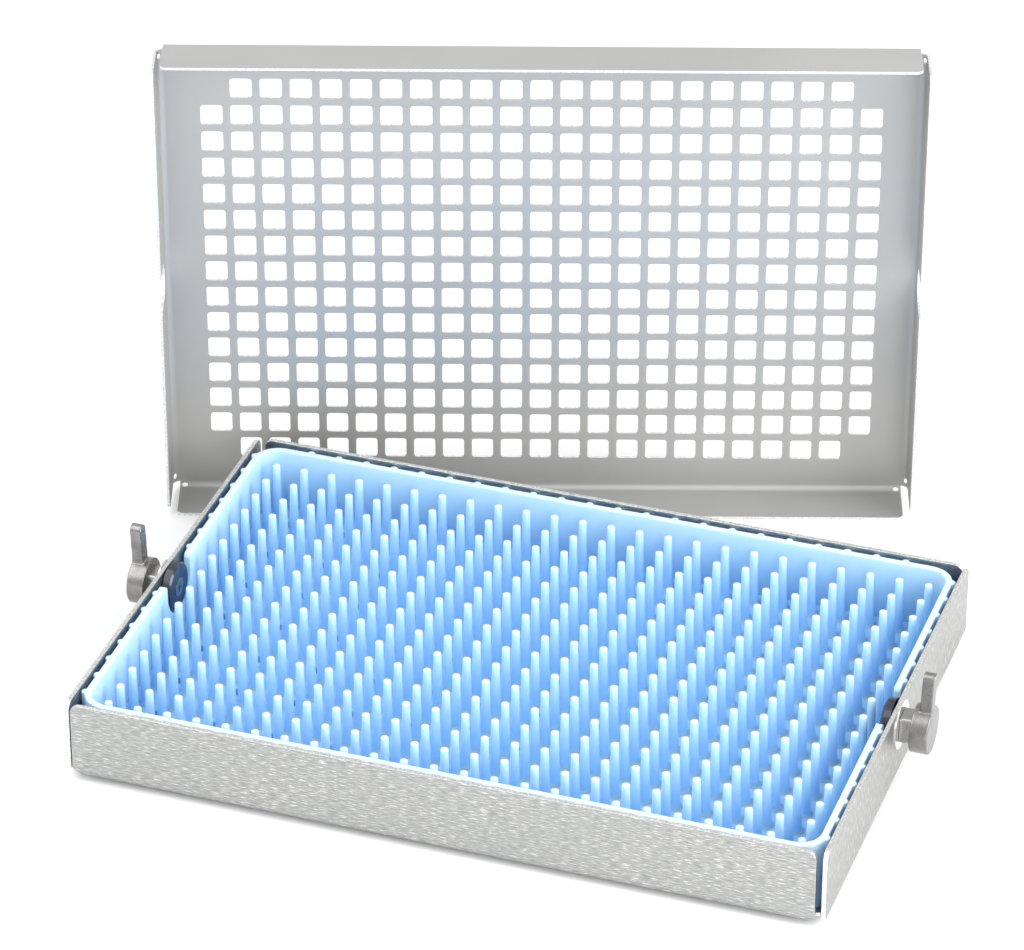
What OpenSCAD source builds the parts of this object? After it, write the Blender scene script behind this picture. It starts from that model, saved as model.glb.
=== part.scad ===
// Sterilising tray for fine instruments: a bent aluminium tray with a
// finger mat, a loose perforated lid and two quarter-turn latches.
// Origin: centre of the tray floor's underside. +X along the tray,
// +Y to the back, +Z up. The tray stands on four pressed feet.

/* [Tray] */
// Outside length of the tray
tray_l = 252; // [200:2:300]
// Outside width of the tray
tray_w = 171; // [121:1:200]
// Height of the tray walls above the floor's underside
tray_h = 27.4; // [26:0.1:34]
// Thickness of the tray sheet
tray_sheet = 1.5; // [1:0.1:2]
// Outside radius of the bend between floor and walls
tray_bend = 3.0; // [2.5:0.5:4]
// Height of the pressed feet under the floor
foot_h = 1.6; // [1.4:0.1:2.5]

/* [Lid] */
// Clearance between the tray walls and the lid flanges, along the tray
lid_gap_l = 1.4; // [1.2:0.1:2.4]
// Clearance between the tray walls and the lid flanges, across the tray
lid_gap_w = 0.6; // [0.4:0.1:1.5]
// Thickness of the lid sheet
lid_sheet = 1.0; // [0.8:0.1:1.3]
// Depth of the lid, flanges included
lid_h = 19; // [17:0.5:21]
// Side of one square hole in the lid
lid_hole = 7.3; // [5:0.1:8]
// Sideways place of the standing lid
lid_x = -37.5; // [-50:0.1:-20]
// Distance from the tray's rear wall to the middle of the standing lid
lid_back = 41.7; // [41.5:0.1:75]
// Turn of the standing lid about the vertical
lid_yaw = 18.1; // [15:0.5:18.5]

/* [Mat] */
// Distance between neighbouring fingers and between neighbouring lid holes
pitch = 10; // [10:0.1:10.2]
// Depth of the finger tops below the tray rim
finger_drop = 3.6; // [3.2:0.1:8]
// Diameter of a finger at its top
finger_top_d = 2.5; // [2:0.1:3]
// Diameter of a finger at its root
finger_root_d = 3.8; // [3:0.1:4.5]
// Thickness of the mat's wall
mat_wall = 2.2; // [1.8:0.1:2.6]
// Thickness of the mat's floor
mat_floor = 2.5; // [2:0.1:4]
// Depth of the mat rim below the tray rim
rim_drop = 0.9; // [0.8:0.1:2]

/* [Latches] */
// Height of the latch axis above the floor's underside
axis_z = 19.8; // [19:0.1:20]
// Diameter of the latch's round foot
foot_d = 16; // [15.6:0.1:17]
// Reach of the lever above the latch axis
lever_reach = 21.5; // [18:0.5:24]
// Width of the hub block that the lid's notch drops over
hub_w = 7.8; // [7:0.1:8.2]
// Height of the hub block
hub_h = 9.4; // [8.4:0.1:9.6]
// Diameter of the inner retaining disc
disc_d = 16.6; // [14:0.2:17]

/* [Hidden] */
$fn = 48;
eps = 0.01;
through = 2;

// Tray
tray_corner_r = 3;          // round of the walls' top corners
wide_slot = 1.9;            // slots between long and short walls: wide at two
narrow_slot = 0.5;          // opposite corners and narrow at the other two
short_wall_set_back = 0.4;  // short walls end this far inside the long ones
relief_run = 4.7;           // sloped relief at each wall's bottom corners
relief_rise = 3.2;
foot_inset_l = 26;          // from the tray's outside to a foot's middle
foot_inset_w = 22;
foot_x = tray_l / 2 - foot_inset_l;
foot_y = tray_w / 2 - foot_inset_w;
foot_top_d = 10;
foot_pad_d = 7;
drain_side = 6;
drain_pitch = 2 * pitch;
drain_cols = 12;
drain_rows = 8;

// Lid
lid_l = tray_l + 2 * (lid_gap_l + lid_sheet);
lid_w = tray_w + 2 * (lid_gap_w + lid_sheet);
lid_bend = 3.2;
lid_cols = 23;
lid_rows = 15;
lid_corner_r = 2;
lid_slot = 2.1;             // slot between a long flange and a short flange
lid_set_back = 2.6;         // short flanges end this far inside the long ones
notch_w = 13.6;             // mouth of the notch that drops over the hub
notch_play = 0.4;           // above the hub when the lid is on
notch_depth = lid_h - lid_sheet - (tray_h - axis_z) + hub_h / 2 + notch_play;
relief_d = 2;               // relief holes on the fold lines
relief_inset = 1.9;         // from the outer face to the hole's middle
relief_end = 5.0;           // from the hole's middle to the other fold's face

// Mat
finger_cols = 24;
finger_rows = 16;
rib_r = 1.3;
rib_out = 1.1;              // how far the ribs stand out of the mat's wall
rib_gap = 0.4;              // between rib tips and the tray wall
mat_l = tray_l - 2 * (tray_sheet + rib_gap + rib_out);
mat_w = tray_w - 2 * (tray_sheet + rib_gap + rib_out);
mat_r = 9;
mat_top = tray_h - rim_drop;
mat_floor_top = tray_sheet + mat_floor;
mat_notch_w = 20;           // notch in the short walls round the disc
mat_notch_drop = 8.6;       // from the latch axis to the notch's bottom
mat_notch_bottom = axis_z - mat_notch_drop;
mat_drain_d = 4;
finger_len = tray_h - finger_drop - mat_floor_top;

// Latches, along the axis outwards from the outer face of the wall
washer_t = 0.6;
hub_t = 4.0;
lever_t = 6.0;
hub_round = 1.2;
spindle_d = 4.9;
bush_d = 7;
bush_bore = 5.0;
flange_d = 10;
flange_t = 0.3;
spring_t = 0.3;
disc_t = 3.0;
screw_shank_d = 3;
screw_head_d = 6.4;
screw_head_t = 1.4;
cross_w = 0.8;
cross_l = 3.4;
wall_x = tray_l / 2;
washer_d = 16.2;
spring_d = 9;
washer_play = 0.2;          // round the spindle, in the washers
axial_play = 0.1;
arm_w = 4.4;
arm_t = 3.9;
arm_lean = 0.6;             // how far the arm's tip leans out
hub_end = washer_t + hub_t;
disc_inner = -(tray_sheet + flange_t + spring_t + disc_t);
disc_edge = 0.6;            // chamfer of the retaining disc
spindle_seat = 0.8;         // how far the spindle goes into the disc
spindle_end = -(tray_sheet + flange_t + spring_t + spindle_seat);

// A channel's section: flat bottom, round lower corners
module channel_section(w, h, r) {
    translate([-w / 2, r]) square([w, h - r]);
    translate([-w / 2 + r, 0]) square([w - 2 * r, h]);
    for (s = [-1, 1]) translate([s * (w / 2 - r), r]) circle(r);
}

// A block whose four bottom edges are round
module round_bottom_block(l, w, h, r) {
    intersection() {
        rotate([90, 0, 90]) linear_extrude(l, center = true) channel_section(w, h, r);
        rotate([90, 0, 0]) linear_extrude(w, center = true) channel_section(l, h, r);
    }
}

// An open pan bent from sheet, with closed corners
module pan(l, w, h, sheet, bend) {
    difference() {
        round_bottom_block(l, w, h, bend);
        translate([0, 0, sheet])
            round_bottom_block(l - 2 * sheet, w - 2 * sheet, h, bend - sheet);
    }
}

// What a round of radius r takes off a square corner that points to +X +Z,
// over a length along Y
module corner_cutter(r, length) {
    rotate([90, 0, 0]) linear_extrude(length, center = true) difference() {
        translate([-r, -r]) square(r + eps);
        translate([-r, -r]) circle(r);
    }
}

// A square grid of square holes through a sheet at z = 0
module hole_grid(cols, rows, step, side, skip_corners) {
    for (i = [0 : cols - 1]) for (j = [0 : rows - 1]) {
        edge_col = i == 0 || i == cols - 1;
        edge_row = j == 0 || j == rows - 1;
        if (!(skip_corners && edge_col && edge_row))
            translate([(i - (cols - 1) / 2) * step, (j - (rows - 1) / 2) * step, 0])
                cube([side, side, 2 * through], center = true);
    }
}

// Where a long wall ends: slots are narrow at two opposite corners
function long_end(sx, sy) =
    tray_l / 2 - tray_sheet - (sx * sy > 0 ? narrow_slot : wide_slot);

// Opens the tray's corners: the long walls stop short of the short walls
module corner_slots() {
    for (sx = [-1, 1]) for (sy = [-1, 1]) scale([sx, sy, 1]) {
        wall_end = long_end(sx, sy);
        translate([wall_end, tray_w / 2 - tray_bend, 0])
            cube([tray_l / 2 - tray_sheet - wall_end, tray_bend + through,
                  tray_h + through]);
        translate([wall_end, tray_w / 2 - short_wall_set_back, -through])
            cube([tray_l / 2 + through - wall_end, short_wall_set_back + through,
                  tray_h + 2 * through]);
    }
}

// Rounds the top corners of the walls
module wall_corners() {
    for (sx = [-1, 1]) for (sy = [-1, 1]) scale([sx, sy, 1]) {
        translate([long_end(sx, sy), tray_w / 2, tray_h])
            corner_cutter(tray_corner_r, 2 * (tray_sheet + eps));
        translate([tray_l / 2, tray_w / 2 - short_wall_set_back, tray_h])
            rotate([0, 0, 90]) corner_cutter(tray_corner_r, 2 * (tray_sheet + eps));
    }
}

// Sloped reliefs at the bottom corners, where the folds of two walls meet
module corner_reliefs() {
    short_end = tray_w / 2 - short_wall_set_back;
    for (sx = [-1, 1]) for (sy = [-1, 1]) scale([sx, sy, 1]) {
        wall_end = long_end(sx, sy);
        translate([0, tray_w / 2 + through, 0]) rotate([90, 0, 0])
            linear_extrude(tray_bend + through)
                polygon([[wall_end - relief_run, -eps], [wall_end, relief_rise],
                         [wall_end + eps, relief_rise], [wall_end + eps, -eps]]);
        translate([tray_l / 2 - tray_bend, 0, 0]) rotate([90, 0, 90])
            linear_extrude(tray_bend + through)
                polygon([[short_end - relief_run, -eps], [short_end, relief_rise],
                         [tray_w / 2 + eps, relief_rise], [tray_w / 2 + eps, -eps]]);
        translate([0, 0, -eps]) linear_extrude(tray_sheet + 2 * eps)
            polygon([[tray_l / 2 - tray_bend + eps, short_end - relief_run],
                     [tray_l / 2 - tray_bend + eps, tray_w / 2 - tray_bend + eps],
                     [wall_end - relief_run, tray_w / 2 - tray_bend + eps]]);
    }
}

module base_tray() {
    color([0.78, 0.79, 0.78]) difference() {
        union() {
            pan(tray_l, tray_w, tray_h, tray_sheet, tray_bend);
            for (sx = [-1, 1]) for (sy = [-1, 1])
                translate([sx * foot_x, sy * foot_y, -foot_h])
                    cylinder(h = foot_h + tray_sheet / 2, d1 = foot_pad_d,
                             d2 = foot_top_d);
        }
        corner_slots();
        corner_reliefs();
        wall_corners();
        for (sx = [-1, 1]) translate([sx * (wall_x - tray_sheet / 2), 0, axis_z])
            rotate([0, 90, 0]) cylinder(h = 2 * through, d = bush_d, center = true);
        hole_grid(drain_cols, drain_rows, drain_pitch, drain_side, false);
    }
}

// The mat's outline in plan, shrunk by an inset
module mat_outline(inset) {
    r = mat_r - inset;
    x = mat_l / 2 - mat_r;
    y = mat_w / 2 - mat_r;
    square([2 * x, 2 * (y + r)], center = true);
    square([2 * (x + r), 2 * y], center = true);
    for (sx = [-1, 1]) for (sy = [-1, 1]) translate([sx * x, sy * y]) circle(r);
}

// The round ribs round the mat, one at each row and column of fingers; they
// start above the fold between the tray's floor and its walls
module mat_ribs() {
    inset = rib_r - rib_out;
    translate([0, 0, tray_bend]) linear_extrude(mat_top - tray_bend) {
        for (i = [1 : finger_cols - 2]) for (s = [-1, 1])
            translate([(i - (finger_cols - 1) / 2) * pitch, s * (mat_w / 2 - inset)])
                circle(rib_r, $fn = 24);
        for (j = [0 : finger_rows - 1]) for (s = [-1, 1])
            translate([s * (mat_l / 2 - inset), (j - (finger_rows - 1) / 2) * pitch])
                circle(rib_r, $fn = 24);
    }
}

module silicone_mat() {
    color([0.56, 0.76, 0.96]) difference() {
        union() {
            translate([0, 0, tray_sheet]) linear_extrude(mat_top - tray_sheet)
                mat_outline(0);
            mat_ribs();
        }
        translate([0, 0, mat_floor_top]) linear_extrude(tray_h) mat_outline(mat_wall);
        for (s = [-1, 1]) translate([s * mat_l / 2, 0, 0]) rotate([90, 0, 90])
            linear_extrude(4 * mat_wall, center = true) {
                translate([-mat_notch_w / 2, mat_notch_bottom + mat_notch_w / 2])
                    square([mat_notch_w, tray_h]);
                translate([0, mat_notch_bottom + mat_notch_w / 2]) circle(mat_notch_w / 2);
            }
        for (i = [0 : drain_cols - 1]) for (j = [0 : drain_rows - 1])
            translate([(i - (drain_cols - 1) / 2) * drain_pitch,
                       (j - (drain_rows - 1) / 2) * drain_pitch, 0])
                cylinder(h = 2 * (tray_sheet + mat_floor), d = mat_drain_d, $fn = 24);
    }
}

module mat_fingers() {
    color([0.62, 0.80, 0.98])
        for (i = [0 : finger_cols - 1]) for (j = [0 : finger_rows - 1])
            translate([(i - (finger_cols - 1) / 2) * pitch,
                       (j - (finger_rows - 1) / 2) * pitch, mat_floor_top])
                cylinder(h = finger_len, d1 = finger_root_d, d2 = finger_top_d, $fn = 24);
}

// Opens the lid's corners: the short flanges stop short of the long ones
module lid_corners() {
    for (sx = [-1, 1]) for (sy = [-1, 1]) scale([sx, sy, 1])
        translate([lid_l / 2 - lid_sheet - lid_slot, lid_w / 2 - lid_set_back, -through]) {
            cube([lid_slot + lid_sheet + through, lid_set_back + through,
                  lid_h + 2 * through]);
        }
}

// The lid as a pan that opens upward, its plate's outer face at z = 0
module lid_pan() {
    difference() {
        pan(lid_l, lid_w, lid_h, lid_sheet, lid_bend);
        lid_corners();
        for (sx = [-1, 1]) scale([sx, 1, 1]) {
            translate([lid_l / 2 - lid_sheet - lid_slot, 0, lid_h])
                corner_cutter(lid_corner_r, lid_w + 2 * through);
            translate([lid_l / 2 - lid_sheet / 2, 0, lid_h - notch_depth + notch_w / 2])
                rotate([90, 0, 90]) linear_extrude(2 * through, center = true) {
                    circle(d = notch_w);
                    translate([-notch_w / 2, 0]) square([notch_w, lid_h]);
                }
            for (sy = [-1, 1]) scale([1, sy, 1]) {
                translate([lid_l / 2, lid_w / 2 - lid_set_back, lid_h])
                    rotate([0, 0, 90]) corner_cutter(lid_corner_r, 4 * lid_sheet);
                translate([lid_l / 2 - relief_end, lid_w / 2 - relief_inset, relief_inset])
                    rotate([45, 0, 0])
                        cylinder(h = 4 * lid_sheet, d = relief_d, center = true);
                translate([lid_l / 2 - relief_inset, lid_w / 2 - relief_end, relief_inset])
                    rotate([0, -45, 0])
                        cylinder(h = 4 * lid_sheet, d = relief_d, center = true);
            }
        }
        hole_grid(lid_cols, lid_rows, pitch, lid_hole, true);
    }
}

module lid() {
    color([0.66, 0.67, 0.68])
        translate([lid_x, tray_w / 2 + lid_back, lid_w / 2 - foot_h])
            rotate([0, 0, lid_yaw])
                translate([0, lid_sheet, 0]) rotate([90, 0, 0]) lid_pan();
}

// Puts a latch drawn with its axis along +X, outwards from the wall's outer
// face, on the right wall (side = 1) or on the left wall (side = -1)
module at_latch(side) {
    translate([side * wall_x, 0, axis_z]) rotate([0, 0, side > 0 ? 0 : 180]) children();
}

// A round bar along the latch axis from one station to another
module axial(from, to, d) {
    translate([from, 0, 0]) rotate([0, 90, 0]) cylinder(h = to - from, d = d);
}

// Outer face of the arm: flush with the foot, leaning out a little at the tip
function arm_outer(t) = lever_t + arm_lean * pow(t, 2) - 0.2;

module lever(side) {
    steps = 10;
    bore_d = spindle_d + 0.02;
    color([0.70, 0.69, 0.68]) at_latch(side) translate([hub_end, 0, 0]) difference() {
        union() {
            axial(0, lever_t, foot_d);
            intersection() {
                rotate([90, 0, 0]) linear_extrude(arm_w, center = true) polygon(concat(
                    [for (k = [0 : steps]) [arm_outer(k / steps), k / steps * lever_reach]],
                    [for (k = [steps : -1 : 0])
                        [arm_outer(k / steps) - arm_t, k / steps * lever_reach]]));
                rotate([90, 0, 90]) linear_extrude(4 * lever_t, center = true) union() {
                    translate([-arm_w / 2, 0]) square([arm_w, lever_reach - arm_w / 2]);
                    translate([0, lever_reach - arm_w / 2]) circle(d = arm_w);
                }
            }
        }
        axial(-eps, lever_t - 1.5, bore_d);
    }
}

module hub(side) {
    core_w = hub_w - 2 * hub_round;
    core_h = hub_h - 2 * hub_round;
    color([0.74, 0.73, 0.71]) at_latch(side) difference() {
        union() {
            translate([washer_t, 0, 0]) rotate([90, 0, 90]) linear_extrude(hub_t) {
                square([core_w, hub_h], center = true);
                square([hub_w, core_h], center = true);
                for (sy = [-1, 1]) for (sz = [-1, 1])
                    translate([sy * core_w / 2, sz * core_h / 2]) circle(hub_round);
            }
            axial(spindle_end, hub_end + lever_t - 1.6, spindle_d);
        }
        axial(spindle_end - eps, hub_end + 2, screw_shank_d);
    }
}

module outer_washer(side) {
    color([0.93, 0.93, 0.92]) at_latch(side) difference() {
        axial(0, washer_t - axial_play, washer_d);
        axial(-eps, washer_t, spindle_d + 2 * washer_play);
    }
}

module bush(side) {
    color([0.90, 0.90, 0.88]) at_latch(side) difference() {
        union() {
            axial(-tray_sheet - flange_t, 0, bush_d);
            axial(-tray_sheet - flange_t, -tray_sheet, flange_d);
        }
        axial(-tray_sheet - 2 * flange_t, flange_t, bush_bore);
    }
}

module spring_washer(side) {
    inner = -tray_sheet - flange_t;
    color([0.72, 0.72, 0.72]) at_latch(side) difference() {
        axial(inner - spring_t + axial_play, inner, spring_d);
        axial(inner - 2 * spring_t, inner + eps, spindle_d + 2 * washer_play);
    }
}

module retaining_disc(side) {
    outer = disc_inner + disc_t;
    color([0.07, 0.09, 0.16]) at_latch(side) difference() {
        union() {
            axial(disc_inner + disc_edge, outer, disc_d);
            translate([disc_inner, 0, 0]) rotate([0, 90, 0])
                cylinder(h = disc_edge + eps, d1 = disc_d - 2 * disc_edge, d2 = disc_d);
        }
        axial(spindle_end - 0.02, outer + eps, spindle_d);
        axial(disc_inner - eps, outer, screw_shank_d);
        axial(disc_inner - eps, disc_inner + screw_head_t, screw_head_d);
    }
}

module screw(side) {
    color([0.80, 0.81, 0.83]) at_latch(side) difference() {
        union() {
            axial(disc_inner - 0.2, disc_inner + screw_head_t, screw_head_d);
            axial(disc_inner, hub_end + 1.5, screw_shank_d);
        }
        for (turn = [20, 110]) rotate([turn, 0, 0])
            translate([disc_inner - 0.2, 0, 0]) cube([1.4, cross_l, cross_w], center = true);
    }
}

base_tray();
silicone_mat();
mat_fingers();
lid();
lever(-1);  // left_lever
hub(-1);  // left_hub
outer_washer(-1);  // left_outer_washer
bush(-1);  // left_bush
spring_washer(-1);  // left_spring_washer
retaining_disc(-1);  // left_retaining_disc
screw(-1);  // left_screw
lever(1);  // right_lever
hub(1);  // right_hub
outer_washer(1);  // right_outer_washer
bush(1);  // right_bush
spring_washer(1);  // right_spring_washer
retaining_disc(1);  // right_retaining_disc
screw(1);  // right_screw
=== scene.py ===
import math
import bmesh
import bpy
from mathutils import Matrix, Vector


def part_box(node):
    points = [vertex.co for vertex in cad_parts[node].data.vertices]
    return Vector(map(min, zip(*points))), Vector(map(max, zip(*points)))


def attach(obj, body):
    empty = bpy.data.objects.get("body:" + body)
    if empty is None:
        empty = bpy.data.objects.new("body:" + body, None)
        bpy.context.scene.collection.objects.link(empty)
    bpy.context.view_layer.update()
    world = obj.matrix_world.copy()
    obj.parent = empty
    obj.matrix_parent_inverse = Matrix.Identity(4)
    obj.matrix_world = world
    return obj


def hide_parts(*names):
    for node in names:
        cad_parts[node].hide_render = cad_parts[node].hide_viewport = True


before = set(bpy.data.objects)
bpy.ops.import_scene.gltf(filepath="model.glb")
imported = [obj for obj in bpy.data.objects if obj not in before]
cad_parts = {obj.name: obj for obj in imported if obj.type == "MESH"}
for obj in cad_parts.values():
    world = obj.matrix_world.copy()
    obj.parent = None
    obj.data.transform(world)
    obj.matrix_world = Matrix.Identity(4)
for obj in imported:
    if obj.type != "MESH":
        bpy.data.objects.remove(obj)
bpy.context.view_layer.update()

MM = 0.001

# Sizes that the CAD model has, in millimetres: the tray
TRAY_SHEET = 1.5
TRAY_BEND = 3.0
WIDE_SLOT, NARROW_SLOT = 1.9, 0.5
SHORT_SET_BACK = 0.4
RELIEF_RUN = 4.7
RELIEF_RISE = 3.2
WALL_CORNER_R = 3.0
FOOT_INSET_L, FOOT_INSET_W = 26, 22
FOOT_PAD_R, FOOT_TOP_R = 3.5, 5.0
DRAIN_SIDE = 6.0
DRAIN_COLS, DRAIN_ROWS = 12, 8
BUSH_D = 7.0
AXIS_Z = 19.8
PITCH = 10.0

# The lid
LID_SHEET = 1.0
LID_GAP_L = 1.4
LID_BEND = 3.2
LID_H = 19.0
LID_YAW = math.radians(18.1)
LID_HOLE = 7.3
LID_COLS, LID_ROWS = 23, 15
LID_SLOT = 2.1
LID_SET_BACK = 2.6
NOTCH_W = 13.6
NOTCH_DEPTH = 15.5
RELIEF_D = 2.0
RELIEF_END = 5.0
LID_CORNER_R = 2.0
LID_X = -37.5
LID_BACK = 41.7

# The mat
FINGER_COLS, FINGER_ROWS = 24, 16
FINGER_TOP_D = 2.5
FINGER_ROOT_D = 3.8
MAT_WALL = 2.2
MAT_FLOOR = 2.5
MAT_R = 9.0
RIB_R = 1.3
RIB_OUT = 1.1
MAT_NOTCH_W = 20.0
MAT_NOTCH_BOTTOM = 11.2
MAT_DRAIN_D = 4.0

# How far the sheets' edges are rounded
TRAY_EDGE = 0.18
LID_EDGE = 0.14

# Two points on each straight stretch of a blank, so that none is on an axis
NEAR_AXIS, OFF_AXIS = 10.0, 40.0

# Blending of the cast levers: cell size in metres and smoothing passes
CASTING_VOXEL = 0.00022
CASTING_PASSES = 8

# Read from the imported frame, in millimetres
tray_low, tray_high = [Vector(c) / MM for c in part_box("base_tray")]
TRAY_L = tray_high.x - tray_low.x
TRAY_W = tray_high.y - tray_low.y
TRAY_H = tray_high.z
FOOT_H = -tray_low.z
finger_low, finger_high = [Vector(c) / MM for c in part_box("mat_fingers")]
FINGER_ROOT_Z = finger_low.z
FINGER_TOP_Z = finger_high.z
mat_low, mat_high = [Vector(c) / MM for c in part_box("silicone_mat")]
MAT_L = mat_high.x - mat_low.x - 2 * RIB_OUT
MAT_W = mat_high.y - mat_low.y - 2 * RIB_OUT
MAT_BOTTOM, MAT_TOP = mat_low.z, mat_high.z
lid_low, lid_high = [Vector(c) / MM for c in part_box("lid")]
LID_W = lid_high.z - lid_low.z
LID_L = TRAY_L + 2 * (LID_GAP_L + LID_SHEET)
LID_Y = TRAY_W / 2 + LID_BACK


# ---------------------------------------------------------------- materials

class Nodes:
    """A small helper for building node materials."""

    def __init__(self, name):
        self.mat = bpy.data.materials.new(name)
        self.mat.use_nodes = True
        self.tree = self.mat.node_tree
        self.tree.nodes.clear()
        self.out = self.add("ShaderNodeOutputMaterial")
        self.bsdf = self.add("ShaderNodeBsdfPrincipled")
        self.link(self.bsdf.outputs[0], self.out.inputs["Surface"])

    def add(self, kind, **settings):
        node = self.tree.nodes.new(kind)
        for key, value in settings.items():
            setattr(node, key, value)
        return node

    def link(self, a, b):
        self.tree.links.new(a, b)

    def set(self, **values):
        for key, value in values.items():
            self.bsdf.inputs[key.replace("_", " ")].default_value = value

    def coords(self, scale, attribute=None):
        """Object coordinates in metres, or a named attribute's, times scale."""
        if attribute:
            source = self.add("ShaderNodeAttribute", attribute_name=attribute).outputs["Vector"]
        else:
            source = self.add("ShaderNodeTexCoord").outputs["Object"]
        mapping = self.add("ShaderNodeMapping")
        mapping.inputs["Scale"].default_value = scale
        self.link(source, mapping.inputs["Vector"])
        return mapping.outputs[0]

    def noise(self, vector, detail=2.0, rough=0.5, distortion=0.0):
        node = self.add("ShaderNodeTexNoise")
        node.inputs["Scale"].default_value = 1.0
        node.inputs["Detail"].default_value = detail
        node.inputs["Roughness"].default_value = rough
        node.inputs["Distortion"].default_value = distortion
        self.link(vector, node.inputs["Vector"])
        return node.outputs["Fac"]

    def ramp(self, fac, *stops):
        node = self.add("ShaderNodeValToRGB")
        elements = node.color_ramp.elements
        while len(elements) < len(stops):
            elements.new(0.5)
        for element, (place, colour) in zip(elements, stops):
            element.position = place
            element.color = (*colour, 1)
        self.link(fac, node.inputs[0])
        return node.outputs[0]

    def spread(self, fac, low, high, to_low, to_high):
        node = self.add("ShaderNodeMapRange")
        for key, value in zip(("From Min", "From Max", "To Min", "To Max"),
                              (low, high, to_low, to_high)):
            node.inputs[key].default_value = value
        self.link(fac, node.inputs["Value"])
        return node.outputs[0]

    def mix(self, fac, a, b, blend="MIX"):
        node = self.add("ShaderNodeMix", data_type="RGBA", blend_type=blend)
        for socket, value in ((node.inputs[0], fac), (node.inputs[6], a), (node.inputs[7], b)):
            if isinstance(value, (int, float)):
                socket.default_value = value
            elif isinstance(value, tuple):
                socket.default_value = (*value, 1)
            else:
                self.link(value, socket)
        return node.outputs[2]

    def rim(self, thickness):
        """1 on the cut edges of a sheet of this thickness in mm, 0 on its faces."""
        place = self.add("ShaderNodeSeparateXYZ")
        self.link(self.coords((1000, 1000, 1000), "blank"), place.inputs[0])
        lower = self.spread(place.outputs["Z"], 0.01, 0.10, 0.0, 1.0)
        upper = self.spread(place.outputs["Z"], thickness - 0.10, thickness - 0.01, 1.0, 0.0)
        both = self.add("ShaderNodeMath", operation="MULTIPLY")
        self.link(lower, both.inputs[0])
        self.link(upper, both.inputs[1])
        return both.outputs[0]

    def cut_edge(self, base, thickness):
        """Mixes the bright metal of a sheet's shear-cut edges into base: partly the metal's own
        bright cut face and partly a painted glint of light catching the edges.
        """
        speckle = self.noise(self.coords((1500, 1500, 1500), "blank"), 3, 0.7)
        # painted glint: near-white stops make the cut edges bright, partly the cut metal's own
        # brightness and partly light catching the edges
        sheared_and_glint = self.ramp(speckle, (0.38, (0.60, 0.60, 0.59)), (0.55, (0.82, 0.82, 0.80)),
                            (0.64, (1.0, 1.0, 0.97)))
        return self.mix(self.rim(thickness), base, sheared_and_glint)

    def bump(self, height, distance, strength=1.0):
        node = self.add("ShaderNodeBump")
        node.inputs["Distance"].default_value = distance
        node.inputs["Strength"].default_value = strength
        self.link(height, node.inputs["Height"])
        self.link(node.outputs[0], self.bsdf.inputs["Normal"])
        return node


def brushed_aluminium():
    """Sheet brushed along its length before bending, with short bright dashes."""
    m = Nodes("brushed_aluminium")
    dashes = m.noise(m.coords((300, 3400, 3400), "blank"), 3, 0.6)
    fine = m.noise(m.coords((420, 9000, 9000), "blank"), 2, 0.5)
    cloud = m.noise(m.coords((22, 45, 45), "blank"), 2, 0.5)
    base = m.ramp(dashes, (0.30, (0.28, 0.29, 0.29)), (0.50, (0.39, 0.39, 0.385)),
                  (0.60, (0.56, 0.56, 0.53)), (0.68, (0.96, 0.95, 0.88)))
    base = m.mix(m.spread(cloud, 0.35, 0.65, 0.0, 0.25), base, (0.36, 0.37, 0.375))
    base = m.cut_edge(base, TRAY_SHEET)
    m.link(base, m.bsdf.inputs["Base Color"])
    m.link(m.spread(fine, 0.3, 0.7, 0.30, 0.50), m.bsdf.inputs["Roughness"])
    m.set(Metallic=1.0)
    m.bump(dashes, 0.00006, 0.6)
    return m.mat


def satin_aluminium():
    """Fine-grained anodised sheet."""
    m = Nodes("satin_aluminium")
    grain = m.noise(m.coords((5200, 5200, 5200)), 3, 0.6)
    cloud = m.noise(m.coords((9, 9, 9)), 2, 0.5)
    base = m.ramp(cloud, (0.3, (0.41, 0.41, 0.40)), (0.7, (0.48, 0.48, 0.47)))
    base = m.mix(m.spread(grain, 0.3, 0.7, 0.0, 0.25), base, (0.58, 0.58, 0.57))
    base = m.cut_edge(base, LID_SHEET)
    m.link(base, m.bsdf.inputs["Base Color"])
    m.link(m.spread(grain, 0.3, 0.7, 0.46, 0.58), m.bsdf.inputs["Roughness"])
    m.set(Metallic=0.6)
    m.bump(grain, 0.00001, 0.5)
    return m.mat


def blue_silicone(name, low, high):
    """Translucent silicone with painted shade: deep blue low in the mat, where it
    lies in shade, and paler at the finger tops and rim where light falls, between the heights
    low and high in mm."""
    m = Nodes(name)
    place = m.add("ShaderNodeSeparateXYZ")
    m.link(m.coords((1000, 1000, 1000)), place.inputs[0])
    height = m.spread(place.outputs["Z"], low, high, 0.0, 1.0)
    # painted shade: the colour ramps from deep blue low in the mat to pale blue at the top,
    # standing in for shade deep down and light on the tops
    base = m.ramp(height, (0.0, (0.29, 0.53, 0.82)), (0.55, (0.43, 0.66, 0.90)),
                  (0.93, (0.53, 0.74, 0.93)), (1.0, (0.62, 0.77, 0.92)))
    mottle = m.noise(m.coords((160, 160, 160)), 3, 0.6)
    base = m.mix(m.spread(mottle, 0.3, 0.7, 0.0, 0.12), base, (0.40, 0.66, 0.95))
    m.link(base, m.bsdf.inputs["Base Color"])
    skin = m.noise(m.coords((2400, 2400, 2400)), 2, 0.5)
    m.link(m.spread(skin, 0.3, 0.7, 0.46, 0.60), m.bsdf.inputs["Roughness"])
    m.set(Subsurface_Weight=0.55, Subsurface_Radius=(0.4, 0.9, 1.6), Subsurface_Scale=0.003)
    m.set(Specular_IOR_Level=0.35)
    m.bump(skin, 0.00002, 0.4)
    return m.mat


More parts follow.
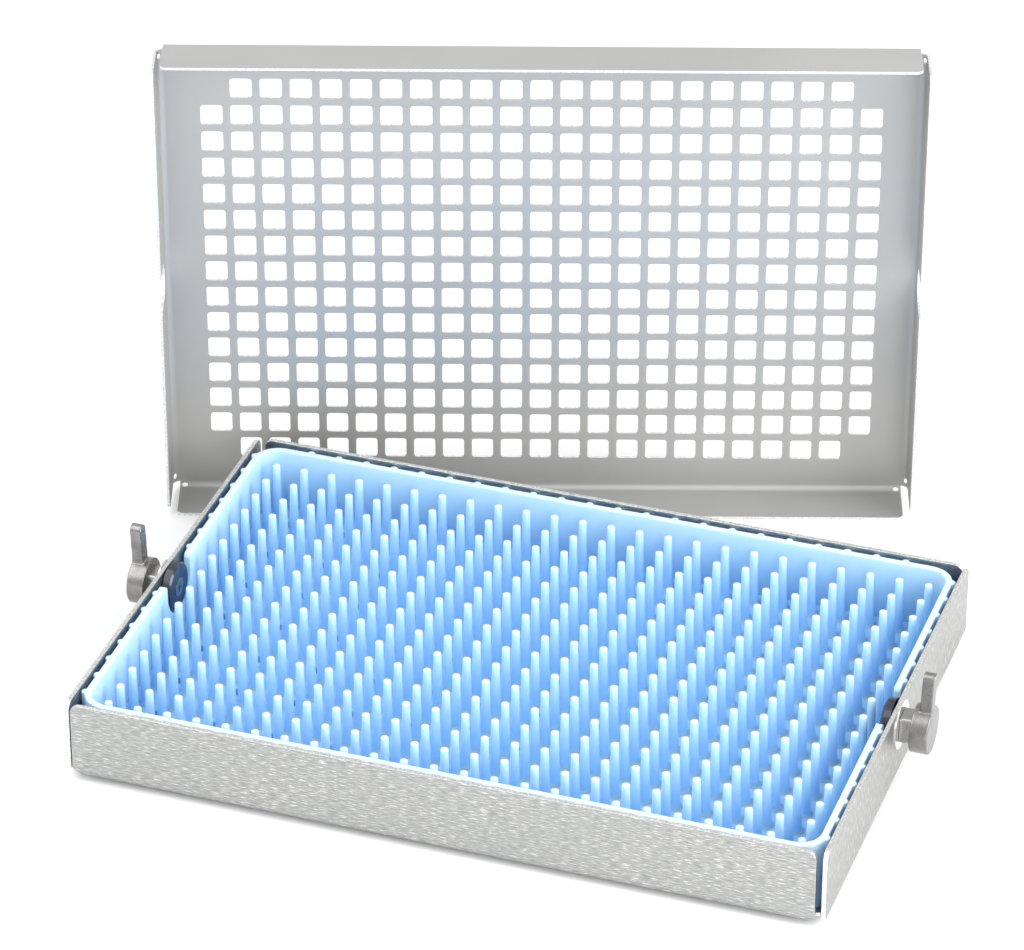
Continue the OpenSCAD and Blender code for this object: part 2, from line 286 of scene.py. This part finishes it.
def cast_steel():
    """Investment-cast stainless steel, blasted and tumbled."""
    m = Nodes("cast_steel")
    pits = m.noise(m.coords((3200, 3200, 3200)), 4, 0.65)
    cloud = m.noise(m.coords((260, 260, 260)), 2, 0.5)
    base = m.ramp(cloud, (0.3, (0.22, 0.215, 0.21)), (0.7, (0.33, 0.32, 0.31)))
    m.link(base, m.bsdf.inputs["Base Color"])
    m.link(m.spread(pits, 0.3, 0.7, 0.20, 0.34), m.bsdf.inputs["Roughness"])
    m.set(Metallic=1.0)
    m.bump(pits, 0.00006, 0.55)
    return m.mat


def machined_steel(name, shade, low, high):
    """Turned stainless steel of a shade, with roughness between low and high."""
    m = Nodes(name)
    rings = m.noise(m.coords((9000, 2500, 2500)), 2, 0.5)
    base = m.ramp(rings, (0.3, (shade, shade * 0.99, shade * 0.97)),
                  (0.7, (shade * 1.3, shade * 1.28, shade * 1.25)))
    m.link(base, m.bsdf.inputs["Base Color"])
    m.link(m.spread(rings, 0.3, 0.7, low, high), m.bsdf.inputs["Roughness"])
    m.set(Metallic=1.0)
    m.bump(rings, 0.00001, 0.4)
    return m.mat


def nylon():
    """White bearing plastic."""
    m = Nodes("white_nylon")
    grain = m.noise(m.coords((3000, 3000, 3000)), 2, 0.5)
    base = m.ramp(grain, (0.3, (0.80, 0.80, 0.78)), (0.7, (0.88, 0.88, 0.86)))
    m.link(base, m.bsdf.inputs["Base Color"])
    m.link(m.spread(grain, 0.3, 0.7, 0.35, 0.5), m.bsdf.inputs["Roughness"])
    m.bump(grain, 0.00001, 0.4)
    return m.mat


def dark_plastic():
    """Glossy plastic, nearly black, with a painted reflection of the blue mat as a blue tint.
    """
    m = Nodes("dark_plastic")
    grain = m.noise(m.coords((1800, 1800, 1800)), 3, 0.5)
    # painted reflection: the blue tint in the colour stands in for the blue mat reflected in
    # the glossy plastic
    base = m.ramp(grain, (0.3, (0.010, 0.013, 0.030)), (0.7, (0.020, 0.026, 0.050)))
    m.link(base, m.bsdf.inputs["Base Color"])
    m.link(m.spread(grain, 0.3, 0.7, 0.12, 0.22), m.bsdf.inputs["Roughness"])
    m.set(Specular_IOR_Level=0.7)
    m.bump(grain, 0.00001, 0.3)
    return m.mat


# ------------------------------------------------------------ mesh helpers

def new_object(name, mesh, material, body, smooth=30, weighted=False):
    mesh.materials.clear()
    mesh.materials.append(material)
    obj = bpy.data.objects.new(name, mesh)
    bpy.context.scene.collection.objects.link(obj)
    mesh.shade_smooth()
    mesh.set_sharp_from_angle(angle=math.radians(smooth))
    if weighted:
        even = obj.modifiers.new("even", "WEIGHTED_NORMAL")
        even.weight = 100
        even.keep_sharp = True
    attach(obj, body)
    return obj


def arc(cx, cy, r, start, end, steps):
    """Points on an arc, angles in degrees."""
    turns = [math.radians(start + (end - start) * k / steps) for k in range(steps + 1)]
    return [(cx + r * math.cos(a), cy + r * math.sin(a)) for a in turns]


def rounded_square(cx, cy, side, r, steps=4):
    h = side / 2 - r
    loop = []
    for sx, sy, start in ((1, 1, 0), (-1, 1, 90), (-1, -1, 180), (1, -1, 270)):
        loop += arc(cx + sx * h, cy + sy * h, r, start, start + 90, steps)
    return loop


def ring(cx, cy, d, steps=20):
    return arc(cx, cy, d / 2, 0, 360, steps)[:-1]


def mirrored(quarter, other=None):
    """A closed outline from its first-quadrant stretch, given from the X axis
    round to the Y axis, with no point on either axis. The second and fourth
    quadrants may have a stretch of their own."""
    other = other or quarter
    loop = list(quarter)
    loop += [(-x, y) for x, y in reversed(other)]
    loop += [(-x, -y) for x, y in quarter]
    loop += [(x, -y) for x, y in reversed(other)]
    return loop


def flat_plate(loops, thickness, edge):
    """A bmesh plate from closed loops in mm, the first outside and the rest
    holes, from z = 0 up to thickness, with its edges rounded by edge."""
    curve = bpy.data.curves.new("plate", "CURVE")
    curve.dimensions = "2D"
    curve.fill_mode = "BOTH"
    curve.extrude = thickness / 2 - edge
    curve.bevel_depth = edge
    curve.bevel_resolution = 1
    curve.offset = -edge
    for loop in loops:
        spline = curve.splines.new("POLY")
        spline.points.add(len(loop) - 1)
        spline.use_cyclic_u = True
        for point, (x, y) in zip(spline.points, loop):
            point.co = (x, y, 0, 1)
    obj = bpy.data.objects.new("plate", curve)
    bpy.context.scene.collection.objects.link(obj)
    graph = bpy.context.evaluated_depsgraph_get()
    mesh = bpy.data.meshes.new_from_object(obj.evaluated_get(graph))
    bm = bmesh.new()
    bm.from_mesh(mesh)
    bpy.data.objects.remove(obj)
    bpy.data.curves.remove(curve)
    bpy.data.meshes.remove(mesh)
    bmesh.ops.remove_doubles(bm, verts=bm.verts, dist=edge / 20)
    bmesh.ops.recalc_face_normals(bm, faces=bm.faces)
    bmesh.ops.translate(bm, verts=bm.verts, vec=(0, 0, thickness / 2))
    return bm


def cut_lines(bm, axis, places):
    """Adds edges where the plate crosses each place along an axis."""
    for place in places:
        point = Vector((0, 0, 0))
        point[axis] = place
        normal = Vector((0, 0, 0))
        normal[axis] = 1
        everything = bm.verts[:] + bm.edges[:] + bm.faces[:]
        bmesh.ops.bisect_plane(bm, geom=everything, plane_co=point, plane_no=normal,
                               dist=0.0005)


def fold(u, depth, start, radius):
    """Where a point u along the flat sheet goes, with its outer face at depth
    0, once the sheet is bent up by 90 degrees from start. Returns (out, up)."""
    length = radius * math.pi / 2
    inner = radius - depth
    if u <= start:
        return u, depth
    if u >= start + length:
        return start + inner, radius + u - start - length
    a = (u - start) / radius
    return start + inner * math.sin(a), radius - inner * math.cos(a)


def bend_pan(bm, half_l, half_w, radius, short_end):
    """Bends a flat blank up along its four sides into a pan that opens to +Z.
    Its outer face starts at z = 0. Its short walls end at short_end across it.
    Keeps the flat place in "blank"."""
    start_x, start_y = half_l - radius, half_w - radius
    length = radius * math.pi / 2
    steps = [k / 6 * length for k in range(7)]
    for sign in (-1, 1):
        cut_lines(bm, 0, [sign * (start_x + s) for s in steps])
        cut_lines(bm, 1, [sign * (start_y + s) for s in steps])
    blank = bm.verts.layers.float_vector.new("blank")
    for v in bm.verts:
        x, y, z = v.co
        v[blank] = Vector((x, y, z)) * MM
        if abs(x) > start_x + 1e-4 and abs(y) < short_end + 1e-4:
            out, up = fold(abs(x), z, start_x, radius)
            v.co = (math.copysign(out, x), y, up)
        elif abs(y) > start_y + 1e-4:
            out, up = fold(abs(y), z, start_y, radius)
            v.co = (x, math.copysign(out, y), up)


def flat_length(up, half, radius):
    """The place along the flat sheet that ends up at height up on a wall."""
    return half - radius + radius * math.pi / 2 + up - radius


def to_mesh(bm, name, matrix=None):
    """Finishes a bmesh in mm as a mesh in metres."""
    if matrix is not None:
        bmesh.ops.transform(bm, matrix=matrix, verts=bm.verts)
    bmesh.ops.scale(bm, vec=(MM, MM, MM), verts=bm.verts)
    mesh = bpy.data.meshes.new(name)
    bm.to_mesh(mesh)
    bm.free()
    return mesh


def lathe(bm, profile, segments, matrix=None):
    """Turns (radius, height) points about Z and closes both ends."""
    rows = []
    for r, z in profile:
        turns = [2 * math.pi * k / segments for k in range(segments)]
        row = [bm.verts.new((r * math.cos(a), r * math.sin(a), z)) for a in turns]
        if matrix is not None:
            for v in row:
                v.co = matrix @ v.co
        rows.append(row)
    for low, high in zip(rows, rows[1:]):
        for k in range(segments):
            n = (k + 1) % segments
            bm.faces.new((low[k], low[n], high[n], high[k]))
    bm.faces.new(list(reversed(rows[0])))
    bm.faces.new(rows[-1])


def boolean(target, cutter, operation):
    """Applies a boolean to target's mesh and removes the cutter."""
    modifier = target.modifiers.new("cut", "BOOLEAN")
    modifier.operation = operation
    modifier.solver = "EXACT"
    modifier.object = cutter
    graph = bpy.context.evaluated_depsgraph_get()
    mesh = bpy.data.meshes.new_from_object(target.evaluated_get(graph))
    target.modifiers.clear()
    target.data = mesh
    bpy.data.objects.remove(cutter)


# ------------------------------------------------------------------- tray

def tray_quarter(slot):
    """A quarter of the tray's blank, with a slot between its two walls."""
    half_l, half_w = TRAY_L / 2, TRAY_W / 2
    top_x = flat_length(TRAY_H, half_l, TRAY_BEND)
    top_y = flat_length(TRAY_H, half_w, TRAY_BEND)
    short_end = half_w - SHORT_SET_BACK
    long_end = half_l - TRAY_SHEET - slot
    r = WALL_CORNER_R
    quarter = [(top_x, NEAR_AXIS), (top_x, OFF_AXIS)]
    quarter += arc(top_x - r, short_end - r, r, 0, 90, 6)
    quarter += [(flat_length(RELIEF_RISE, half_l, TRAY_BEND), short_end),
                (half_l - TRAY_BEND, short_end - RELIEF_RUN),
                (long_end - RELIEF_RUN, half_w - TRAY_BEND),
                (long_end, flat_length(RELIEF_RISE, half_w, TRAY_BEND))]
    quarter += arc(long_end - r, top_y - r, r, 0, 90, 6)
    return quarter + [(OFF_AXIS, top_y), (NEAR_AXIS, top_y)]


def tray_blank():
    """The tray's flat sheet, with its drain holes and the bush holes."""
    loops = [mirrored(tray_quarter(NARROW_SLOT), tray_quarter(WIDE_SLOT))]
    for i in range(DRAIN_COLS):
        for j in range(DRAIN_ROWS):
            loops.append(rounded_square((i - (DRAIN_COLS - 1) / 2) * 2 * PITCH,
                                        (j - (DRAIN_ROWS - 1) / 2) * 2 * PITCH,
                                        DRAIN_SIDE, 0.8))
    for sign in (-1, 1):
        loops.append(ring(sign * flat_length(AXIS_Z, TRAY_L / 2, TRAY_BEND), 0, BUSH_D, 32))
    return loops


def make_tray():
    bm = flat_plate(tray_blank(), TRAY_SHEET, TRAY_EDGE)
    bend_pan(bm, TRAY_L / 2, TRAY_W / 2, TRAY_BEND, TRAY_W / 2 - SHORT_SET_BACK)
    foot = [(FOOT_PAD_R - 0.4, -FOOT_H), (FOOT_PAD_R, -FOOT_H + 0.05),
            (FOOT_PAD_R + 0.5, -FOOT_H + 0.25), (FOOT_TOP_R - 0.3, -0.5),
            (FOOT_TOP_R, -0.1), (FOOT_TOP_R, TRAY_SHEET / 2)]
    for sx in (-1, 1):
        for sy in (-1, 1):
            lathe(bm, foot, 40, Matrix.Translation((sx * (TRAY_L / 2 - FOOT_INSET_L),
                                                    sy * (TRAY_W / 2 - FOOT_INSET_W), 0)))
    mesh = to_mesh(bm, "tray_sheet")
    tray = new_object("tray_sheet", mesh, BRUSHED, "tray", 50, True)
    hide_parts("base_tray")


# -------------------------------------------------------------------- lid

def lid_blank():
    """The lid's flat sheet, with its notches, square holes and relief holes."""
    half_l, half_w = LID_L / 2, LID_W / 2
    top_x = flat_length(LID_H, half_l, LID_BEND)
    top_y = flat_length(LID_H, half_w, LID_BEND)
    short_end = half_w - LID_SET_BACK
    long_end = half_l - max(LID_BEND, LID_SHEET + LID_SLOT)
    r = LID_CORNER_R
    centre = top_x - NOTCH_DEPTH + NOTCH_W / 2
    mouth = 0.8
    quarter = arc(centre, 0, NOTCH_W / 2, 176, 90, 8)
    quarter += [(top_x - mouth, NOTCH_W / 2)]
    quarter += arc(top_x - mouth, NOTCH_W / 2 + mouth, mouth, -90, 0, 3)[1:]
    quarter += [(top_x, OFF_AXIS)]
    quarter += arc(top_x - r, short_end - r, r, 0, 90, 6)
    quarter += [(long_end, short_end)]
    quarter += arc(long_end - r, top_y - r, r, 0, 90, 6)
    quarter += [(OFF_AXIS, top_y), (NEAR_AXIS, top_y)]
    loops = [mirrored(quarter)]
    for i in range(LID_COLS):
        for j in range(LID_ROWS):
            if i in (0, LID_COLS - 1) and j in (0, LID_ROWS - 1):
                continue
            loops.append(rounded_square((i - (LID_COLS - 1) / 2) * PITCH,
                                        (j - (LID_ROWS - 1) / 2) * PITCH, LID_HOLE, 1.0, 3))
    fold_middle = LID_BEND - LID_BEND * math.pi / 4
    for sx in (-1, 1):
        for sy in (-1, 1):
            for in_l, in_w in ((RELIEF_END, fold_middle), (fold_middle, RELIEF_END)):
                loops.append(ring(sx * (half_l - in_l), sy * (half_w - in_w), RELIEF_D, 16))
    return loops


def make_lid():
    bm = flat_plate(lid_blank(), LID_SHEET, LID_EDGE)
    bend_pan(bm, LID_L / 2, LID_W / 2, LID_BEND, LID_W / 2 - LID_SET_BACK)
    place = (Matrix.Translation((LID_X, LID_Y, LID_W / 2 - FOOT_H))
             @ Matrix.Rotation(LID_YAW, 4, "Z")
             @ Matrix.Translation((0, LID_SHEET, 0))
             @ Matrix.Rotation(math.pi / 2, 4, "X"))
    mesh = to_mesh(bm, "lid_sheet", place)
    lid = new_object("lid_sheet", mesh, SATIN, "lid", 50, True)
    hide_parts("lid")


# -------------------------------------------------------------------- mat

def mat_outline(inset, steps=8):
    """The mat's outline in plan without its ribs, shrunk by an inset."""
    r = MAT_R - inset
    x, y = MAT_L / 2 - MAT_R, MAT_W / 2 - MAT_R
    loop = []
    for sx, sy, start in ((1, 1, 0), (-1, 1, 90), (-1, -1, 180), (1, -1, 270)):
        loop += arc(sx * x, sy * y, r, start, start + 90, steps)
    return loop


def rib_row(from_point, direction, normal, places):
    """Round ribs on a straight wall, at places along direction."""
    loop = []
    sunk = RIB_R - RIB_OUT
    side = math.asin(sunk / RIB_R)
    for place in places:
        for k in range(9):
            a = side + (math.pi - 2 * side) * k / 8
            along = place - RIB_R * math.cos(a)
            out = RIB_R * math.sin(a) - sunk
            loop.append((from_point[0] + direction[0] * along + normal[0] * out,
                         from_point[1] + direction[1] * along + normal[1] * out))
    return loop


def mat_outer():
    """The mat's outline in plan with its ribs. Each corner arc starts some
    degrees in from the short wall, clear of that wall's last rib."""
    x, y, r = MAT_L / 2, MAT_W / 2, MAT_R
    cols = [(i - (FINGER_COLS - 1) / 2) * PITCH for i in range(1, FINGER_COLS - 1)]
    rows = [(j - (FINGER_ROWS - 1) / 2) * PITCH for j in range(FINGER_ROWS)]
    loop = rib_row((x, 0), (0, 1), (1, 0), rows)
    clear = 20
    loop += arc(x - r, y - r, r, clear, 90, 8)
    loop += rib_row((0, y), (-1, 0), (0, 1), cols)
    loop += arc(-x + r, y - r, r, 90, 180 - clear, 8)
    loop += rib_row((-x, 0), (0, -1), (-1, 0), rows)
    loop += arc(-x + r, -y + r, r, 180 + clear, 270, 8)
    loop += rib_row((0, -y), (1, 0), (0, -1), cols)
    loop += arc(x - r, -y + r, r, 270, 360 - clear, 8)
    return loop


def scratch_object(name, bm):
    """An object that only takes part in booleans."""
    mesh = bpy.data.meshes.new(name)
    bm.to_mesh(mesh)
    bm.free()
    obj = bpy.data.objects.new(name, mesh)
    bpy.context.scene.collection.objects.link(obj)
    return obj


def make_mat():
    """The wall with its ribs stands above the tray's fold, and the floor,
    joined to it, fills the mat's outline below the ribs."""
    wall = flat_plate([mat_outer(), mat_outline(MAT_WALL)], MAT_TOP - TRAY_BEND, 0.35)
    bmesh.ops.translate(wall, verts=wall.verts, vec=(0, 0, TRAY_BEND))
    body = scratch_object("mat_wall", wall)
    drains = [ring((i - (DRAIN_COLS - 1) / 2) * 2 * PITCH,
                   (j - (DRAIN_ROWS - 1) / 2) * 2 * PITCH, MAT_DRAIN_D)
              for i in range(DRAIN_COLS) for j in range(DRAIN_ROWS)]
    floor = flat_plate([mat_outline(0.05)] + drains, MAT_FLOOR, 0.2)
    bmesh.ops.translate(floor, verts=floor.verts, vec=(0, 0, MAT_BOTTOM))
    boolean(body, scratch_object("mat_floor", floor), "UNION")
    half = MAT_NOTCH_W / 2
    centre = MAT_NOTCH_BOTTOM + half
    lip = 2.0
    shape = arc(0, centre, half, 180, 360, 24)
    shape += [(half, MAT_TOP - lip)]
    shape += arc(half + lip, MAT_TOP - lip, lip, 180, 90, 5)[1:]
    shape += [(half + lip, MAT_TOP + 5), (-half - lip, MAT_TOP + 5)]
    shape += arc(-half - lip, MAT_TOP - lip, lip, 90, 0, 5)
    for sign in (-1, 1):
        cutter = flat_plate([shape], 12, 0.01)
        place = (Matrix.Translation((sign * MAT_L / 2 - 6, 0, 0))
                 @ Matrix.Rotation(math.pi / 2, 4, "Z") @ Matrix.Rotation(math.pi / 2, 4, "X"))
        bmesh.ops.transform(cutter, matrix=place, verts=cutter.verts)
        boolean(body, scratch_object("mat_notch", cutter), "DIFFERENCE")
    bm = bmesh.new()
    bm.from_mesh(body.data)
    bpy.data.objects.remove(body)
    mesh = to_mesh(bm, "mat_moulding")
    mat = new_object("mat_moulding", mesh, SILICONE, "tray", 50, True)
    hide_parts("silicone_mat")


def finger_profile():
    """(radius, height) of a finger, flared at its root and rounded on top."""
    top, root = FINGER_TOP_D / 2, FINGER_ROOT_D / 2
    length = FINGER_TOP_Z - FINGER_ROOT_Z
    side = lambda h: root + (top - root) * (h / length) ** 0.8
    fillet = 0.9
    points = [(side(0) + fillet, -0.05), (side(0) + fillet * 0.45, fillet * 0.12),
              (side(0) + fillet * 0.12, fillet * 0.45), (side(fillet), fillet)]
    points += [(side(length * t), length * t) for t in (0.2, 0.4, 0.6, 0.8)]
    edge = 0.22
    points += [(side(length - edge), length - edge), (top - edge * 0.3, length - edge * 0.3),
               (top - edge, length)]
    return points


def make_fingers():
    bm = bmesh.new()
    profile = finger_profile()
    for i in range(FINGER_COLS):
        for j in range(FINGER_ROWS):
            place = Matrix.Translation(((i - (FINGER_COLS - 1) / 2) * PITCH,
                                        (j - (FINGER_ROWS - 1) / 2) * PITCH, FINGER_ROOT_Z))
            lathe(bm, profile, 20, place)
    mesh = to_mesh(bm, "finger_moulding")
    fingers = new_object("finger_moulding", mesh, FINGER_SILICONE, "tray", 50)
    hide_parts("mat_fingers")


# ---------------------------------------------------------------- latches

def rounded_casting(name, node, material, body):
    """A copy of a CAD node with its edges blended as in a casting."""
    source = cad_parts[node]
    obj = bpy.data.objects.new(name, source.data.copy())
    bpy.context.scene.collection.objects.link(obj)
    remesh = obj.modifiers.new("remesh", "REMESH")
    remesh.mode = "VOXEL"
    remesh.voxel_size = CASTING_VOXEL
    smooth = obj.modifiers.new("smooth", "SMOOTH")
    smooth.iterations = CASTING_PASSES
    smooth.factor = 0.5
    graph = bpy.context.evaluated_depsgraph_get()
    mesh = bpy.data.meshes.new_from_object(obj.evaluated_get(graph))
    bpy.data.objects.remove(obj)
    piece = new_object(name, mesh, material, body, 80)
    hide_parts(node)
    return piece


def bevelled(node, material, width):
    """A CAD node with its own shape, fine bevels and a material."""
    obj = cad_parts[node]
    obj.data.materials.clear()
    obj.data.materials.append(material)
    bevel = obj.modifiers.new("bevel", "BEVEL")
    bevel.width = width
    bevel.segments = 2
    bevel.limit_method = "ANGLE"
    bevel.angle_limit = math.radians(40)


def make_latch(side):
    """The pieces of one latch, which follow the CAD nodes' own shapes."""
    body = side + "_latch"
    rounded_casting(side + "_lever_casting", side + "_lever", CAST, body)
    bevelled(side + "_hub", MACHINED, 0.0004)
    bevelled(side + "_retaining_disc", DARK, 0.0003)
    bevelled(side + "_screw", MACHINED, 0.0001)
    bevelled(side + "_outer_washer", POLISHED, 0.00008)
    bevelled(side + "_bush", NYLON, 0.0001)
    bevelled(side + "_spring_washer", POLISHED, 0.00005)


# ------------------------------------------------------------------ stage

def make_stage():
    bpy.ops.mesh.primitive_plane_add(size=6, location=(0, 0, -FOOT_H * MM))
    floor = bpy.context.object
    floor.name = "floor"
    m = Nodes("floor_paper")
    m.set(Base_Color=(0.93, 0.93, 0.93, 1), Roughness=0.9, Specular_IOR_Level=0.1)
    floor.data.materials.append(m.mat)


def area_light(name, place, target, size, power, colour=(1, 1, 1)):
    light = bpy.data.lights.new(name, "AREA")
    light.shape = "RECTANGLE"
    light.size, light.size_y = size
    light.energy = power
    light.color = colour
    obj = bpy.data.objects.new(name, light)
    bpy.context.scene.collection.objects.link(obj)
    obj.location = place
    direction = Vector(target) - Vector(place)
    obj.rotation_euler = direction.to_track_quat("-Z", "Y").to_euler()


def make_lights():
    world = bpy.data.worlds.new("studio")
    bpy.context.scene.world = world
    world.use_nodes = True
    background = world.node_tree.nodes["Background"]
    background.inputs["Color"].default_value = (0.98, 0.99, 1.0, 1)
    background.inputs["Strength"].default_value = 0.92
    area_light("key", (-0.9, -0.5, 1.5), (0, 0, 0), (1.8, 1.8), 16)
    area_light("right", (1.4, -0.1, 0.7), (0.1, 0, 0), (0.8, 1.2), 18)
    area_light("front_right", (0.55, -0.75, 0.4), (0.12, -0.08, 0.01), (0.5, 0.5), 3)
    bpy.context.scene.view_settings.view_transform = "Standard"
    bpy.context.scene.view_settings.look = "None"


def make_camera():
    """Long lens from the front right, 32 degrees above the table."""
    camera = bpy.data.cameras.new("camera")
    camera.sensor_width = 36.0
    camera.sensor_fit = "HORIZONTAL"
    camera.lens = 187.85
    camera.clip_start = 0.1
    camera.clip_end = 20
    obj = bpy.data.objects.new("camera", camera)
    bpy.context.scene.collection.objects.link(obj)
    right = Vector((0.94678, 0.32189, 0.00024))
    down = Vector((0.17168, -0.50433, -0.84627))
    forward = Vector((-0.27229, 0.80127, -0.53275))
    turn = Matrix((right, -down, -forward)).transposed().to_4x4()
    place = Vector((458.27, -1362.15, 968.87 + FINGER_TOP_Z)) * MM
    obj.matrix_world = Matrix.Translation(place) @ turn
    bpy.context.scene.camera = obj


BRUSHED = brushed_aluminium()
SATIN = satin_aluminium()
SILICONE = blue_silicone("blue_silicone", 4.0, MAT_TOP - 0.3)
FINGER_SILICONE = blue_silicone("finger_silicone", FINGER_ROOT_Z, FINGER_TOP_Z)
CAST = cast_steel()
MACHINED = machined_steel("machined_steel", 0.34, 0.20, 0.32)
POLISHED = machined_steel("polished_steel", 0.70, 0.14, 0.22)
NYLON = nylon()
DARK = dark_plastic()

make_camera()
make_tray()
make_lid()
make_mat()
make_fingers()
for side_name in ("left", "right"):
    make_latch(side_name)
make_stage()
make_lights()
